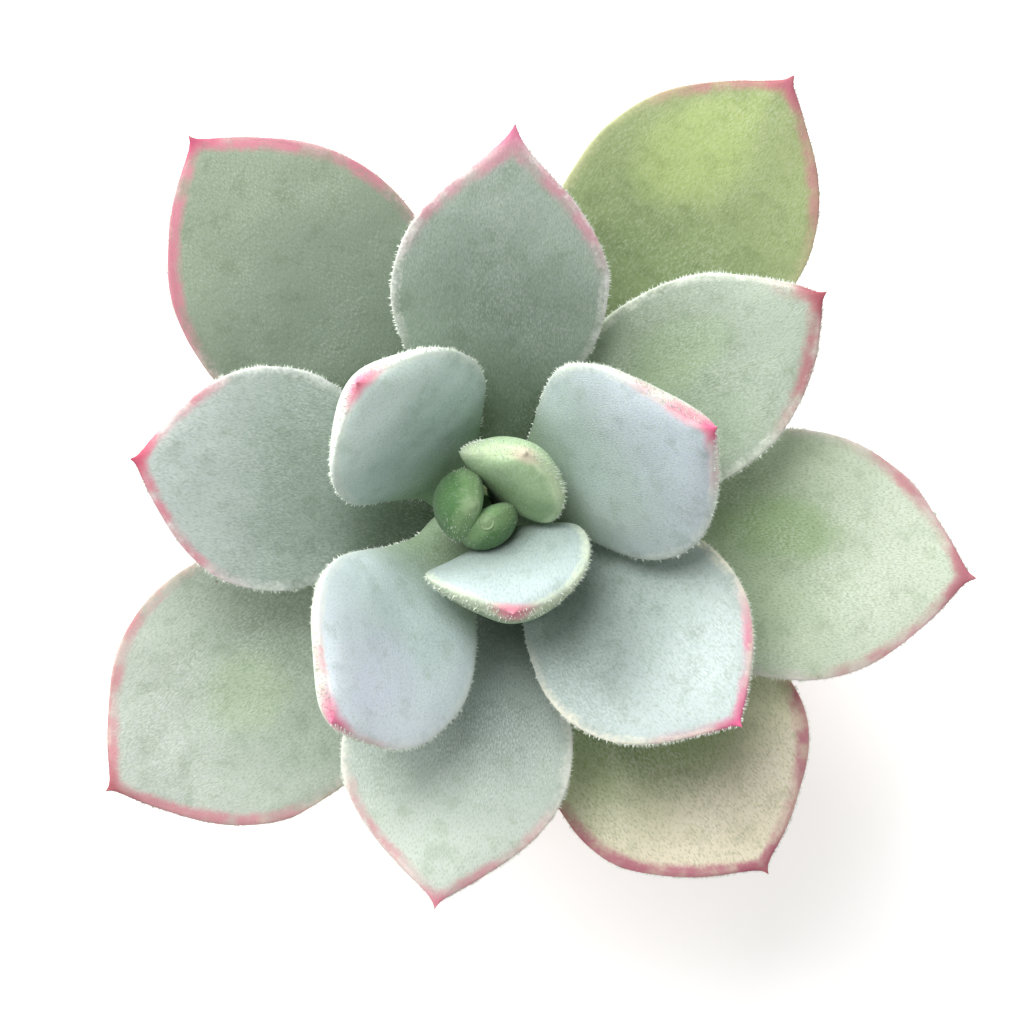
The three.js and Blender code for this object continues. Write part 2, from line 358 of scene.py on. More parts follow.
    def blush_cover(self, ragged):
        """Where the blush lies: from its start on each margin, in patches, wider towards the tip."""
        right, left = self.shades["blush_from"]
        start = right + (left - right) * self.step(self.across, -0.4, 0.4)
        reach = self.step(self.along - start + self.wander * 0.1, -0.06, 0.1)
        width = self.shades["blush_width"] * MM * (0.5 + 0.55 * self.step(self.along, 0.6, 0.95))
        gaps = self.noise(BLUSH_GAP_SIZE, 2.0, 0.5, self.shift + 0.6)
        patchy = 0.35 + 0.65 * self.step(gaps, 0.36, 0.6)
        return self.step(ragged - width, 0.45 * MM, -1.3 * MM) * reach * patchy

    def with_specks(self, colour):
        """The odd dark speck."""
        specks = self.specks(SPECK_SPACING, SPECK_RADIUS, self.shift) * self.step(self.cloud, 0.48, 0.54)
        return self.blend(specks * 0.6, colour, tint("74503C"))


def hair_look():
    return Look("leaf_hair", Base_Color=tint("DCE4D8"), Roughness=0.6, Specular_IOR_Level=0.3).material


def clay_look():
    """Unglazed fired clay: warm, dusty, with darker damp patches, pale salts and fine pits."""
    look = Look("fired_clay", Specular_IOR_Level=0.25)
    cloud = look.noise(14 * MM, 4.0, 0.6)
    streak = look.noise(2.4 * MM, 4.0, 0.65, 0.3)
    grit = look.noise(0.5 * MM, 3.0, 0.6, 0.7)
    colour = look.blend(look.step(cloud, 0.35, 0.65), tint("B26A48"), tint("C27D58"))
    colour = look.blend(look.step(streak, 0.5, 0.75) * 0.4, colour, tint("9C573B"))
    salts = look.step(look.noise(8 * MM, 5.0, 0.7, 1.3), 0.58, 0.74)
    colour = look.blend(salts * 0.45, colour, tint("DDB9A0"))
    colour = look.blend(look.step(grit, 0.55, 0.7) * 0.3, colour, tint("8A4B33"))
    pits = look.specks(1.9 * MM, 0.28 * MM, 0.4)
    colour = look.blend(pits * 0.5, colour, tint("7A412D"))
    look.set(Base_Color=colour, Roughness=0.82 + 0.14 * grit)
    look.set(Normal=look.bump(grit * 0.5 + streak * 0.8 - pits * 0.5, 0.16 * MM, 0.7))
    return look.material


def mix_look():
    """Moist, crumbly potting mix."""
    look = Look("potting_mix", Specular_IOR_Level=0.2)
    lump = look.noise(2.2 * MM, 5.0, 0.65)
    crumb = look.noise(0.6 * MM, 4.0, 0.7, 0.5)
    colour = look.blend(look.step(lump, 0.35, 0.65), tint("33261D"), tint("513D2E"))
    colour = look.blend(look.step(crumb, 0.52, 0.7) * 0.55, colour, tint("6E5642"))
    colour = look.blend(look.step(crumb, 0.42, 0.3) * 0.6, colour, tint("1E1610"))
    look.set(Base_Color=colour, Roughness=0.85 + 0.12 * lump)
    look.set(Normal=look.bump(lump * 0.6 + crumb * 0.6, 0.5 * MM, 0.9))
    return look.material


def grain_look(name, light, dark):
    look = Look(name, Specular_IOR_Level=0.25)
    mottle = look.noise(0.7 * MM, 3.0, 0.6)
    colour = look.blend(look.step(mottle, 0.35, 0.65), tint(dark), tint(light))
    look.set(Base_Color=colour, Roughness=0.8 + 0.15 * mottle, Normal=look.bump(mottle, 0.15 * MM, 0.8))
    return look.material


def stem_look():
    """A fleshy stem: brown and corky at the mix, green towards the heart, and a deep green at the top,
    partly painted shade.
    """
    look = Look(
        "stem_skin",
        Subsurface_Weight=0.08,
        Subsurface_Radius=FLESH_RADIUS,
        Subsurface_Scale=1 * MM,
    )
    height = look.node("ShaderNodeSeparateXYZ", {}, {0: look.place()}, output="Z")
    low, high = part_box("stem")
    share = (height - low.z) * (1 / (high.z - low.z))
    cork = look.noise(1.4 * MM, 4.0, 0.65)
    colour = look.blend(look.step(share + cork * 0.15, 0.42, 0.68), tint("8C7A5C"), tint("A3B183"))
    # The deep green at the top, inside the heart, is partly the stem's own green and partly painted shade.
    colour = look.blend(look.step(share, 0.8, 0.95), colour, tint("5C8250"))
    colour = look.blend(look.step(cork, 0.55, 0.72) * 0.4, colour, tint("6F6146"))
    look.set(Base_Color=colour, Roughness=0.7 + 0.15 * cork, Normal=look.bump(cork, 0.25 * MM, 0.8))
    return look.material


# ---- Leaves ----
SUBDIVISIONS = 3
HEEL_REACH = 1.2 * MM  # how far a leaf's heel is carried towards the stem
UNEVEN_SIZE = 7 * MM
UNEVEN_HEIGHT = 0.45 * MM

unevenness = bpy.data.textures.new("leaf_unevenness", "CLOUDS")
unevenness.noise_scale = UNEVEN_SIZE
unevenness.noise_depth = 1


def merged_copy(node, name):
    """A copy of a CAD node's mesh with its loose triangles joined."""
    piece = bpy.data.objects.new(name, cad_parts[node].data.copy())
    bpy.context.scene.collection.objects.link(piece)
    only(piece)
    bpy.ops.object.mode_set(mode="EDIT")
    bpy.ops.mesh.select_all(action="SELECT")
    bpy.ops.mesh.remove_doubles(threshold=1e-6)
    bpy.ops.object.mode_set(mode="OBJECT")
    return piece


def rings_of(piece):
    """The rings of points round a leaf, in order, from the heel's one point to the tip's."""
    count = len(piece.data.vertices)
    joined = [set() for _ in range(count)]
    for edge in piece.data.edges:
        a, b = edge.vertices
        joined[a].add(b)
        joined[b].add(a)
    ends = sorted(range(count), key=lambda i: -len(joined[i]))[:2]
    rings = [[min(ends, key=lambda i: piece.data.vertices[i].co.z)]]
    seen = set(rings[0])
    while len(seen) < count:
        ring = {j for i in rings[-1] for j in joined[i]} - seen
        rings.append(walk_round(ring, joined))
        seen |= ring
    return rings


def walk_round(ring, joined):
    order = [min(ring)]
    while len(order) < len(ring):
        order.append(min(i for i in joined[order[-1]] if i in ring and i not in order))
    return order


def line_up(rings, points):
    """Turns each ring's order until its points follow on from those of the ring before."""

    def bare_shape(ring):
        here = points[ring] - points[ring].mean(axis=0)
        return here / np.linalg.norm(here)

    for i in range(2, len(rings) - 1):
        target = bare_shape(rings[i - 1])
        starts = range(len(rings[i]))
        orders = [rings[i][::way][k:] + rings[i][::way][:k] for way in (1, -1) for k in starts]
        rings[i] = min(orders, key=lambda order: ((bare_shape(order) - target) ** 2).sum())


def margins_of(rings, points):
    """Which places in a ring are its two margins: the right one, then the left one, seen from above."""
    widths = [np.linalg.norm(points[ring][:, None] - points[ring][None], axis=2) for ring in rings[1:-1]]
    widest = int(np.argmax([gaps.max() for gaps in widths]))
    a, b = np.unravel_index(np.argmax(widths[widest]), widths[widest].shape)
    ring = points[rings[widest + 1]]
    heading = points[rings[widest + 2]].mean(axis=0) - ring.mean(axis=0)
    outwards = np.array([*ring.mean(axis=0)[:2], 0])
    up = np.array([0, 0, 1]) - outwards / np.linalg.norm(outwards)
    left = np.cross(up, heading)
    return (a, b) if (ring[b] - ring[a]) @ left > 0 else (b, a)


def skin_with_quads(piece, rings):
    """Replaces a leaf's triangles with a clean net of four-sided faces from ring to ring."""
    points = points_of(piece)
    faces = []
    count = len(rings[1])
    for j in range(count):
        k = (j + 1) % count
        faces.append((rings[0][0], rings[1][j], rings[1][k]))
        faces += [(a[j], a[k], b[k], b[j]) for a, b in zip(rings[1:-2], rings[2:-1])]
        faces.append((rings[-2][j], rings[-1][0], rings[-2][k]))
    piece.data.clear_geometry()
    piece.data.from_pydata(points.tolist(), [], faces)
    only(piece)
    bpy.ops.object.mode_set(mode="EDIT")
    bpy.ops.mesh.select_all(action="SELECT")
    bpy.ops.mesh.normals_make_consistent(inside=False)
    bpy.ops.object.mode_set(mode="OBJECT")


def mark_leaf(piece):
    """Attributes for the look and the hairs: where each point lies on its leaf, and which way is outwards.

    along is 0 at the heel and 1 at the tip, across 1 at the left margin and -1 at the right one, side 1 on
    the face and -1 on the back, inset the distance in from the margin.
    """
    points = points_of(piece)
    rings = rings_of(piece)
    line_up(rings, points)
    skin_with_quads(piece, rings)
    right, left = margins_of(rings, points)
    round_ring = len(rings[1])
    middles = np.array([
        points[ring if len(ring) < 3 else [ring[left], ring[right]]].mean(axis=0) for ring in rings
    ])
    steps = np.linalg.norm(np.diff(middles, axis=0), axis=1)
    reached = np.concatenate([[0], np.cumsum(steps)])
    marks = {name: np.zeros(len(points)) for name in ("along", "across", "side", "inset")}
    blade, outwards = np.zeros((len(points), 3)), np.zeros((len(points), 3))
    for i, ring in enumerate(rings):
        marks["along"][ring] = reached[i] / reached[-1]
        blade[ring, 1] = reached[i]
        if len(ring) < 3:
            outwards[ring] = middles[i] - middles[i - 1]
            continue
        axis = points[ring[left]] - points[ring[right]]
        width = np.linalg.norm(axis)
        across = np.clip(2 * (points[ring] - middles[i]) @ axis / width ** 2, -1, 1)
        half = [(k - right) % round_ring for k in range(round_ring)]
        turn = (left - right) % round_ring
        first = np.array([0 if k in (0, turn) else 1 if k < turn else -1 for k in half])
        centre_up = points[ring][first > 0].mean(axis=0) - points[ring][first < 0].mean(axis=0)
        ahead = middles[min(i + 1, len(rings) - 1)] - middles[max(i - 1, 0)]
        face = first if np.cross(ahead, axis) @ centre_up > 0 else -first
        marks["across"][ring] = across
        marks["side"][ring] = face
        marks["inset"][ring] = (1 - np.abs(across)) * width / 2
        blade[ring, 0] = across * width / 2
        blade[ring, 2] = 0.01 * face
        for edge, way in ((left, 1), (right, -1)):
            run = points[rings[min(i + 1, len(rings) - 2)][edge]] - points[rings[max(i - 1, 1)][edge]]
            lean = way * axis / width - run * (way * axis @ run) / width / max(run @ run, 1e-12)
            outwards[np.array(ring)[across * way > 0]] = lean / np.linalg.norm(lean)
    for name, values in marks.items():
        piece.data.attributes.new(name, "FLOAT", "POINT").data.foreach_set("value", values)
    for name, values in (("blade", blade), ("outwards", outwards)):
        piece.data.attributes.new(name, "FLOAT_VECTOR", "POINT").data.foreach_set("vector", values.ravel())
    return rings, middles


def grow_towards_stem(piece, rings, middles):
    """Carries the heel and its ring back towards the stem; most leaves then reach into it."""
    points = points_of(piece)
    back = middles[1] - middles[2]
    back = back / np.linalg.norm(back)
    for ring in rings[:2]:
        points[ring] += HEEL_REACH * back
    put_points(piece, points)


def make_leaf(node, material, swell):
    piece = merged_copy(node, f"{node}_blade")
    rings, middles = mark_leaf(piece)
    grow_towards_stem(piece, rings, middles)
    if swell:
        finish_with(piece, "DISPLACE", strength=swell, mid_level=0)
    finish_with(piece, "SUBSURF", levels=SUBDIVISIONS, render_levels=SUBDIVISIONS)
    finish_with(piece, "DISPLACE", texture=unevenness, strength=UNEVEN_HEIGHT, mid_level=0.5)
    smooth(piece)
    settle(piece, material)
    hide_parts(node)
    return piece


# ---- Leaf hairs ----
FRINGE_PER_MM = 13.0  # along each margin
FRINGE_LENGTH = (0.2 * MM, 0.44 * MM)
FRINGE_RADIUS = 0.07 * MM
FRINGE_INSET = 3 * 0.35 * MM  # how far in from the margin the fringe may root
FRINGE_FACING = 0.75  # how squarely the skin there faces outwards
FRINGE_SPAN = (0.12, 0.985)  # where along the leaf it starts and ends
FRINGE_PULL = 0.8  # how far the hairs lean from the skin's normal to outwards
DOWN_PER_MM2 = 0.08  # over the open surface
DOWN_LENGTH = (0.08 * MM, 0.18 * MM)
DOWN_RADIUS = 0.035 * MM
HAIR_SUNK = 0.06 * MM
HAIR_SCATTER = 0.2
HAIR_THICKNESS = (0.75, 1.25)  # a hair's radius varies by this much
GROWN_LENGTH = 15 * MM  # leaves shorter than this have fewer and finer hairs


def attribute_of(piece, name, kind="value", width=1):
    values = np.empty(len(piece.data.vertices) * width)
    piece.data.attributes[name].data.foreach_get(kind, values)
    return values.reshape(-1, width) if width > 1 else values


def cones(roots, directions, lengths, radii):
    """The points and faces of slim closed cones with three sides each."""
    first = np.cross(directions, np.eye(3)[np.argmin(np.abs(directions), axis=1)])
    first /= np.linalg.norm(first, axis=1)[:, None]
    second = np.cross(directions, first)
    feet = roots - HAIR_SUNK * directions
    corners = [
        feet + radii[:, None] * (math.cos(angle) * first + math.sin(angle) * second)
        for angle in (0, 2 * math.pi / 3, 4 * math.pi / 3)
    ]
    corners.append(roots + lengths[:, None] * directions)
    points = np.stack(corners, axis=1).reshape(-1, 3)
    start = 4 * np.arange(len(roots))[:, None]
    faces = [start + np.array(face) for face in ((0, 2, 1), (0, 1, 3), (1, 2, 3), (2, 0, 3))]
    return points, np.concatenate(faces)


def triangles_of(piece):
    """Which three points each triangle of a piece joins."""
    piece.data.calc_loop_triangles()
    corners = np.empty(3 * len(piece.data.loop_triangles), dtype=np.int64)
    piece.data.loop_triangles.foreach_get("vertices", corners)
    return corners.reshape(-1, 3)


def hairs_on(leaf, name, material, seed):
    """A fringe of stubby hairs along a leaf's margins, and finer down over its surface, as one mesh."""
    rng = np.random.default_rng(seed)
    corners = triangles_of(leaf)
    points = points_of(leaf)
    a, b, c = points[corners[:, 0]], points[corners[:, 1]], points[corners[:, 2]]
    normals = np.cross(b - a, c - a)
    areas = np.linalg.norm(normals, axis=1) / 2
    normals /= np.maximum(2 * areas, 1e-15)[:, None]
    inset = attribute_of(leaf, "inset")[corners].mean(axis=1)
    along = attribute_of(leaf, "along")[corners].mean(axis=1)
    outwards = attribute_of(leaf, "outwards", "vector", 3)[corners].mean(axis=1)
    outwards /= np.maximum(np.linalg.norm(outwards, axis=1), 1e-9)[:, None]
    facing = (normals * outwards).sum(axis=1)
    in_span = (along > FRINGE_SPAN[0]) & (along < FRINGE_SPAN[1])
    on_margin = (facing > FRINGE_FACING) & (inset < FRINGE_INSET) & in_span
    length = attribute_of(leaf, "blade", "vector", 3)[:, 1].max()
    youth = min(1.0, length / GROWN_LENGTH)
    fringe_count = int(youth * FRINGE_PER_MM * 2 * length / MM)
    down_count = int(youth * DOWN_PER_MM2 * areas.sum() / MM ** 2)
    sets = (
        (on_margin, fringe_count, FRINGE_LENGTH, FRINGE_RADIUS, FRINGE_PULL),
        (~on_margin, down_count, DOWN_LENGTH, DOWN_RADIUS, 0.0),
    )
    all_points, all_faces, start = [], [], 0
    for allowed, count, lengths, radius, pull in sets:
        weights = areas * allowed
        chosen = rng.choice(len(weights), size=count, p=weights / weights.sum())
        u, v = rng.random(count), rng.random(count)
        over = u + v > 1
        u[over], v[over] = 1 - u[over], 1 - v[over]
        roots = a[chosen] + u[:, None] * (b - a)[chosen] + v[:, None] * (c - a)[chosen]
        directions = (1 - pull) * normals[chosen] + pull * outwards[chosen]
        directions += rng.normal(scale=HAIR_SCATTER, size=(count, 3))
        directions /= np.linalg.norm(directions, axis=1)[:, None]
        long = youth * rng.uniform(*lengths, size=count)
        thick = youth * radius * rng.uniform(*HAIR_THICKNESS, size=count)
        cone_points, faces = cones(roots, directions, long, thick)
        all_points.append(cone_points)
        all_faces.append(faces + start)
        start += len(cone_points)
    piece = new_piece(name, np.concatenate(all_points), faces=np.concatenate(all_faces).tolist())
    settle(piece, material)
    return piece


# The two leaves that close up in the middle of the heart: their deep greens are partly their own and partly
# painted shade for the hollow of the heart.
BUD_SHADES_WITH_PAINTED_SHADE = {
    "depth": 1,
    "heel": "3F5F34", "middle": "52764A", "far": "6C9262", "back": "486E3E", "frost": 0.1,
    "patches": [],
    "rim": "7C9A6C", "rim_share": 0.6, "blush": "C4D4AC", "blush_from": (0.95, 0.95),
    "blush_width": 0.5, "blush_share": 0.4, "point": "C8D8B4", "point_share": 0.2,
}

# The shades of each leaf, and how deep its colour is.
# swell: how far its skin stands out beyond the CAD leaf.
# patches: ((along, across, length, width), shade, share).
# blush_from: how far along the blush starts, on the right and on the left margin.
# blush_width: in millimetres.
# heel shades are darker partly as painted shade, far shades paler partly as painted light; depth also
# deepens leaves that lie in shade, as painted shade, and pales leaves the light reaches, as painted light.
LEAF_SHADES = {
    "outer_leaf_1": {
        "depth": 1.25,
        "heel": "6E8458", "middle": "93A67A", "far": "CDC5B0", "back": "AAB898", "frost": 0.8,
        "patches": [((0.62, 0.05, 0.16, 0.5), "7F9A5C", 0.45)],
        "rim": "C49A94", "rim_share": 0.6, "blush": "D06E8C", "blush_from": (0.5, 0.45),
        "blush_width": 2.6, "blush_share": 0.85, "point": "A85468", "point_share": 0.8,
    },
    "outer_leaf_2": {
        "depth": 0.6,
        "heel": "7C9066", "middle": "A2B882", "far": "B6C68C", "back": "A9BA93", "frost": 0.2,
        # The pale yellow patch near the tip: the leaf's own yellow, paled as painted light where its curved
        # top faces the light.
        "patches": [((0.8, 0.3, 0.18, 0.5), "C8DC86", 0.3)],
        "rim": "D2CCA4", "rim_share": 0.5, "blush": "CC8A90", "blush_from": (0.72, 0.8),
        "blush_width": 2.1, "blush_share": 0.75, "point": "C0647A", "point_share": 0.85,
    },
    "outer_leaf_3": {
        "depth": 0.68,
        "heel": "8EA27C", "middle": "BAC9B6", "far": "C8D2C6", "back": "B2C2A6", "frost": 0.35,
        "patches": [((0.62, 0.0, 0.12, 0.35), "9CB088", 0.35)],
        "rim": "E6D4CA", "rim_share": 0.6, "blush": "D68C96", "blush_from": (0.55, 0.62),
        "blush_width": 2.4, "blush_share": 0.85, "point": "B05C66", "point_share": 0.9,
    },
    "outer_leaf_4": {
        "depth": 0.88,
        "heel": "94AA84", "middle": "B4C8A6", "far": "CBD6C2", "back": "B0C2A4", "frost": 0.6,
        "patches": [((0.6, 0.2, 0.15, 0.3), "86A66C", 0.5)],
        "rim": "E6DAD8", "rim_share": 0.6, "blush": "D68E98", "blush_from": (0.72, 0.7),
        "blush_width": 2.3, "blush_share": 0.85, "point": "C27280", "point_share": 0.85,
    },
    "outer_leaf_5": {
        "depth": 0.65,
        "heel": "748A6E", "middle": "9CAE9A", "far": "A8B8A0", "back": "A2B494", "frost": 0.25,
        "patches": [],
        "rim": "E4C0C4", "rim_share": 0.55, "blush": "DC8A9C", "blush_from": (0.55, 0.6),
        "blush_width": 2.5, "blush_share": 0.9, "point": "C8587A", "point_share": 0.95,
    },
    "middle_leaf_1": {
        "depth": 0.8,
        "heel": "76887C", "middle": "A6B6B0", "far": "CBD6CA", "back": "AABC9E", "frost": 0.45,
        "patches": [],
        "rim": "E2E2D8", "rim_share": 0.7, "blush": "DE96A0", "blush_from": (0.68, 0.72),
        "blush_width": 2, "blush_share": 0.8, "point": "D47C92", "point_share": 0.9,
    },
    "middle_leaf_2": {
        "depth": 0.75,
        "heel": "8AA07C", "middle": "A8BAA0", "far": "B6C4B2", "back": "ABBE9C", "frost": 0.3,
        "patches": [((0.62, 0.3, 0.16, 0.4), "9DB487", 0.35)],
        "rim": "E6EADE", "rim_share": 0.7, "blush": "C88088", "blush_from": (0.72, 0.9),
        "blush_width": 2.5, "blush_share": 0.85, "point": "B05864", "point_share": 0.95,
    },
    "middle_leaf_3": {
        "depth": 0.72,
        "heel": "8CA48C", "middle": "AEBFB2", "far": "C4D0CA", "back": "B0C2A6", "frost": 0.35,
        "patches": [],
        "rim": "F0F2EE", "rim_share": 0.65, "blush": "E08496", "blush_from": (0.78, 0.66),
        "blush_width": 1.9, "blush_share": 0.85, "point": "CC5470", "point_share": 0.95,
    },
    "middle_leaf_4": {
        "depth": 0.7,
        "heel": "8CA698", "middle": "BED0CA", "far": "CFDDDA", "back": "B6C8AE", "frost": 0.4,
        "patches": [],
        "rim": "ECE8D4", "rim_share": 0.75, "blush": "EC90AC", "blush_from": (0.86, 0.76),
        "blush_width": 1.7, "blush_share": 0.9, "point": "E86496", "point_share": 0.95,
    },
    "middle_leaf_5": {
        "depth": 0.78,
        "heel": "7E9878", "middle": "92A494", "far": "A6B6A8", "back": "A4B898", "frost": 0.2,
        "patches": [],
        "rim": "ECEAE6", "rim_share": 0.7, "blush": "E496AA", "blush_from": (0.68, 0.68),
        "blush_width": 2.7, "blush_share": 0.68, "point": "E886A8", "point_share": 0.95,
    },
    "inner_leaf_1": {
        "depth": 1,
        "heel": "A2BC98", "middle": "C2D4D2", "far": "CCD6DC", "back": "D2E2CC", "frost": 0.3,
        "patches": [((0.75, 0.1, 0.2, 0.5), "C4C8DA", 0.4)],
        "rim": "EAF0E6", "rim_share": 0.5, "blush": "EEA2A8", "blush_from": (0.7, 0.86),
        "blush_width": 0.9, "blush_share": 0.8, "point": "F07CA2", "point_share": 0.95,
    },
    "inner_leaf_2": {
        "depth": 0.85,
        # Its very pale back is partly its own, partly painted light on the band of back that faces the
        # light.
        "heel": "9CB892", "middle": "B9CBC4", "far": "C4D0D6", "back": "E2ECDC", "frost": 0.3,
        "patches": [],
        "rim": "E8EEE0", "rim_share": 0.55, "blush": "F09AAE", "blush_from": (0.86, 0.8),
        "blush_width": 1.3, "blush_share": 0.85, "point": "F46E98", "point_share": 0.95,
    },
    "inner_leaf_3": {
        "depth": 1.15,
        # Its very pale back is partly its own, partly painted light on the band of back that faces the
        # light.
        "heel": "8EAE88", "middle": "A9BFB8", "far": "BECEC8", "back": "E0ECDC", "frost": 0.25,
        "patches": [],
        "rim": "E6EEE2", "rim_share": 0.6, "blush": "F0A0B4", "blush_from": (0.93, 0.93),
        "blush_width": 1.0, "blush_share": 0.7, "point": "F2809E", "point_share": 0.9,
    },
    "heart_leaf_1": {
        "depth": 0.72,
        "heel": "A4BC98", "middle": "C0D4CE", "far": "CADBDA", "back": "A8C294", "frost": 0.25,
        "patches": [],
        "rim": "DCE8CC", "rim_share": 0.7, "blush": "F0A8B4", "blush_from": (0.95, 0.95),
        "blush_width": 0.7, "blush_share": 0.7, "point": "F08AA2", "point_share": 0.9,
    },
    "heart_leaf_2": {
        "depth": 1.1,
        "swell": 0.25 * MM,
        "heel": "6E9060", "middle": "86A476", "far": "98B28A", "back": "A2BC94", "frost": 0.15,
        "patches": [],
        "rim": "C8DAB4", "rim_share": 0.7, "blush": "DCC8B4", "blush_from": (0.95, 0.95),
        "blush_width": 0.6, "blush_share": 0.4, "point": "E6C0B8", "point_share": 0.5,
    },
    "heart_leaf_3": {**BUD_SHADES_WITH_PAINTED_SHADE, "swell": 0.85 * MM},
    "heart_leaf_4": {**BUD_SHADES_WITH_PAINTED_SHADE, "swell": 0.9 * MM},
}

hair_material = hair_look()
for number, (node, shades) in enumerate(LEAF_SHADES.items()):
    skin = LeafLook(f"{node}_skin", shades, number).material
    leaf = make_leaf(node, skin, shades.get("swell", 0))
    hairs_on(leaf, f"{node}_hairs", hair_material, seed=100 + number)


# ---- Pot ----
POT_STEPS = 144
RIM_BAND = 11 * MM
RIM_STEP = 1.8 * MM
FOOT_RADIUS = 20.5 * MM
WALL = 3.2 * MM
FLOOR = 5.5 * MM
EDGE = 0.9 * MM
DRAIN_RADIUS = 1.9 * MM
DRAIN_CIRCLE = 11 * MM
DRAIN_HOLES = 3
SOFT_EDGE = 0.35 * MM  # the bevel on the pot's edges
SHARP_ANGLE = math.radians(18)
SMOOTH_ANGLE = math.radians(35)


def make_pot(material):
    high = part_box("pot")[1]
    rim = high.x
    top = high.z
    band = top - RIM_BAND
    shoulder = rim - RIM_STEP
    foot_slope = (shoulder - FOOT_RADIUS) / band
    inside = shoulder - WALL
    outline = [
        (0, 0),
        (FOOT_RADIUS - EDGE, 0),
        (FOOT_RADIUS + foot_slope * EDGE, EDGE),
        (shoulder, band),
        (rim - EDGE / 2, band),
        (rim, band + EDGE),
        (rim, top - EDGE),
        (rim - EDGE, top),
        (inside + EDGE, top),
        (inside, top - EDGE),
        (inside, band),
        (FOOT_RADIUS + foot_slope * FLOOR - WALL, FLOOR),
        (0, FLOOR),
    ]
    piece = turned("clay_pot", outline, POT_STEPS)
    for i in range(DRAIN_HOLES):
        angle = 2 * math.pi * i / DRAIN_HOLES + math.pi / 2
        place = (DRAIN_CIRCLE * math.cos(angle), DRAIN_CIRCLE * math.sin(angle), FLOOR / 2)
        bpy.ops.object.select_all(action="DESELECT")
        bpy.ops.mesh.primitive_cylinder_add(
            vertices=48, radius=DRAIN_RADIUS, depth=3 * FLOOR, location=place
        )
        drill = bpy.context.object
        finish_with(piece, "BOOLEAN", operation="DIFFERENCE", object=drill, solver="EXACT")
        bpy.data.objects.remove(drill)
    finish_with(
        piece, "BEVEL", width=SOFT_EDGE, segments=3, limit_method="ANGLE", angle_limit=SHARP_ANGLE
    )
    only(piece)
    bpy.ops.object.shade_smooth_by_angle(angle=SMOOTH_ANGLE)
    settle(piece, material)
    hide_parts("pot")
    return piece


make_pot(clay_look())


# ---- Potting mix ----
MIX_STEPS = 150
MIX_RINGS = 46
MIX_MOUND = 1.4 * MM  # how much higher the mix is in the middle than at the wall
MIX_FOOT_INSET = 6 * MM
MIX_SHOULDER = 3 * MM
LUMP_SIZE = 3.4 * MM
LUMP_HEIGHT = 0.7 * MM
CRUMB_SIZE = 1.1 * MM
CRUMB_HEIGHT = 0.35 * MM
STEM_CLEAR = 5.2 * MM  # no grain lies nearer to the axis
FULL_TURN = 6.28


def mix_height(x, y, radius):
    """The height of the mix's surface above its wall line, at a place."""
    share = min(math.hypot(x, y) / radius, 1)
    lump = noise.noise(Vector((x, y, 0)) / LUMP_SIZE) * LUMP_HEIGHT
    crumb = noise.noise(Vector((x, y, 0.01)) / CRUMB_SIZE) * CRUMB_HEIGHT
    return MIX_MOUND * (1 - share ** 2) + lump + crumb


def make_mix(material):
    low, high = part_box("potting_mix")
    radius = high.x
    wall_top = high.z - MIX_MOUND
    outline = [(0, low.z), (radius - MIX_FOOT_INSET, low.z)]
    outline += [(radius, wall_top - MIX_SHOULDER), (radius, wall_top)]
    outline += [(radius * (1 - i / MIX_RINGS), wall_top) for i in range(1, MIX_RINGS)]
    outline.append((0, wall_top))
    piece = turned("mix_bed", outline, MIX_STEPS)
    points = points_of(piece)
    for point in points:
        if point[2] > wall_top - 0.1 * MM:
            point[2] += mix_height(point[0], point[1], radius)
    put_points(piece, points)
    smooth(piece)
    settle(piece, material)
    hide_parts("potting_mix")
    return wall_top, radius


def grains(name, count, sizes, flatness, material, seed, bed):
    """Many small broken grains scattered over the mix, as one mesh."""
    wall_top, radius = bed
    rng = np.random.default_rng(seed)
    bpy.ops.object.select_all(action="DESELECT")
    bpy.ops.mesh.primitive_ico_sphere_add(subdivisions=1, radius=1)
    pebble = bpy.context.object
    shape = points_of(pebble)
    faces = np.array([list(face.vertices) for face in pebble.data.polygons])
    bpy.data.objects.remove(pebble)
    clouds, all_faces = [], []
    for i in range(count):
        size = rng.uniform(*sizes)
        reach = math.sqrt(rng.uniform((STEM_CLEAR / radius) ** 2, (1 - size / radius) ** 2)) * radius
        angle = rng.uniform(0, 2 * math.pi)
        x, y = reach * math.cos(angle), reach * math.sin(angle)
        z = wall_top + mix_height(x, y, radius) + 0.15 * size
        broken = shape * (1 + rng.uniform(-0.28, 0.28, size=(len(shape), 1)))
        broken = broken * np.array([1, rng.uniform(0.6, 1), flatness * rng.uniform(0.7, 1.2)]) * size
        turn = np.array(Matrix.Rotation(rng.uniform(0, FULL_TURN), 3, rng.normal(size=3)))
        if flatness < 0.5:
            tilt = np.array(Matrix.Rotation(rng.uniform(0, 0.5), 3, (math.cos(angle), math.sin(angle), 0)))
            turn = tilt @ np.array(Matrix.Rotation(rng.uniform(0, FULL_TURN), 3, "Z"))
        clouds.append(broken @ turn.T + np.array([x, y, z]))
        all_faces.append(faces + len(shape) * i)
    piece = new_piece(name, np.concatenate(clouds), faces=np.concatenate(all_faces).tolist())
    settle(piece, material)
    return piece


bed = make_mix(mix_look())
pumice = grain_look("pumice_grain", "D9D2C2", "A79F8E")
grains("mix_pumice", 300, (0.5 * MM, 1.15 * MM), 0.8, pumice, 11, bed)
bark = grain_look("bark_chip", "6F4B33", "3A261A")
grains("mix_bark", 340, (0.7 * MM, 1.7 * MM), 0.35, bark, 12, bed)
grit = grain_look("dark_grit", "7C7066", "3E3630")
grains("mix_grit", 420, (0.3 * MM, 0.7 * MM), 0.85, grit, 13, bed)


# ---- Stem ----
STEM_STEPS = 64
STEM_RINGS = 70
STEM_POINT = 1.6 * MM  # the radius at the bottom of the stem, under the mix
STEM_TIP = 1.3 * MM
STEM_TAPER = 4.67 * MM  # how far below the top of the mix the stem starts to narrow
STEM_WAVE = 0.28 * MM
STEM_WAVE_SIZE = 2.6 * MM


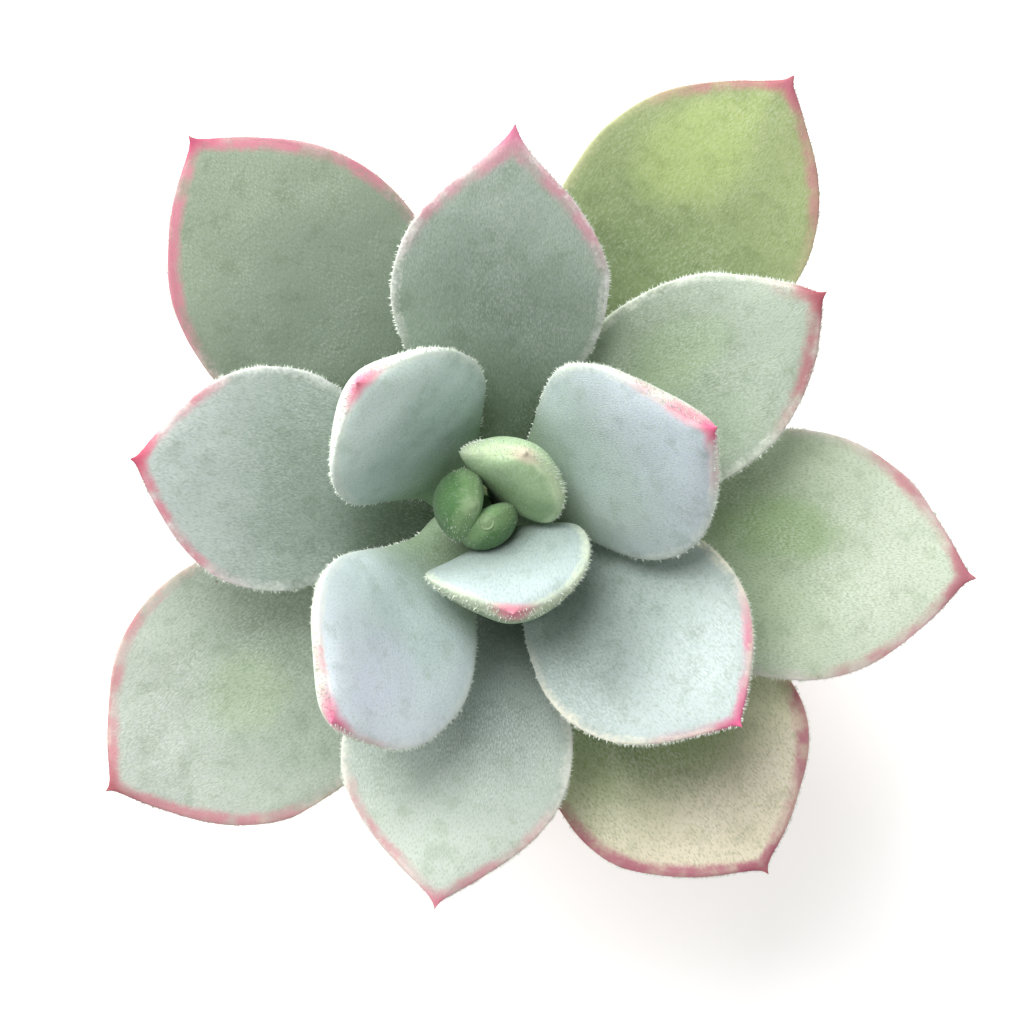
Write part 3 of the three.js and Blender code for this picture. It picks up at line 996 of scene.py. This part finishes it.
def make_stem(material):
    low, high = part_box("stem")
    foot, top = high.x, high.z
    mix_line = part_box("potting_mix")[1].z
    taper_line = mix_line - STEM_TAPER

    def radius_at(z):
        if z < taper_line:
            return STEM_POINT + (foot - STEM_POINT) * (z - low.z) / (taper_line - low.z)
        if z < mix_line:
            return foot
        return foot + (STEM_TIP - foot) * (z - mix_line) / (top - mix_line)

    heights = [low.z + (top - 0.5 * MM - low.z) * i / STEM_RINGS for i in range(STEM_RINGS + 1)]
    outline = [(0, low.z)] + [(radius_at(z), z) for z in heights]
    outline += [(0.6 * STEM_TIP, top - 0.1 * MM), (0, top)]
    piece = turned("stem_stalk", outline, STEM_STEPS)
    points = points_of(piece)
    for point in points:
        spread = math.hypot(point[0], point[1])
        if spread > 0.5 * MM:
            wave = noise.noise(Vector(point) / STEM_WAVE_SIZE) * STEM_WAVE
            point[:2] *= (spread + wave) / spread
    put_points(piece, points)
    smooth(piece)
    settle(piece, material)
    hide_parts("stem")
    return piece


make_stem(stem_look())


# ---- Floor, light and camera ----
CAMERA_PLACE = (3.56 * MM, -0.44 * MM, 512 * MM)
CAMERA_LENS = 142.4
CAMERA_SENSOR = 36
FLOOR_SIZE = 60
FLOOR_GLOW = 0.42
SKY_STRENGTH = 0.42
LIGHT_AIM = (0, 0, 62 * MM)  # the heart of the plant
LIGHTS = (  # name, place, diameter and power
    ("key", (-0.16, 0.34, 0.78), 0.45, 5.2),
    ("low_key", (-0.55, 0.62, 0.38), 0.7, 9.0),
)


def floor_look():
    look = Look("studio_floor", Base_Color=tint("FFFFFF"), Roughness=0.9, Specular_IOR_Level=0.1)
    look.set(Emission_Color=tint("FFFFFF"), Emission_Strength=FLOOR_GLOW)
    return look.material


def make_floor(material):
    bpy.ops.object.select_all(action="DESELECT")
    bpy.ops.mesh.primitive_plane_add(size=FLOOR_SIZE, location=(0, 0, 0))
    floor = bpy.context.object
    floor.name = "floor"
    floor.data.materials.append(material)


def area_light(name, place, size, power):
    data = bpy.data.lights.new(name, "AREA")
    data.shape = "DISK"
    data.size = size
    data.energy = power
    light = bpy.data.objects.new(name, data)
    light.location = place
    light.rotation_euler = (Vector(LIGHT_AIM) - Vector(place)).to_track_quat("-Z", "Y").to_euler()
    bpy.context.scene.collection.objects.link(light)


def make_world(strength):
    world = bpy.data.worlds.new("studio")
    world.use_nodes = True
    background = world.node_tree.nodes["Background"]
    background.inputs["Color"].default_value = tint("FFFFFF")
    background.inputs["Strength"].default_value = strength
    bpy.context.scene.world = world


def make_camera():
    data = bpy.data.cameras.new("camera")
    data.lens = CAMERA_LENS
    data.sensor_width = CAMERA_SENSOR
    camera = bpy.data.objects.new("camera", data)
    camera.location = CAMERA_PLACE
    bpy.context.scene.collection.objects.link(camera)
    bpy.context.scene.camera = camera


make_floor(floor_look())
make_world(SKY_STRENGTH)
for light in LIGHTS:
    area_light(*light)
make_camera()
bpy.context.scene.view_settings.view_transform = "Standard"
bpy.context.scene.view_settings.look = "None"
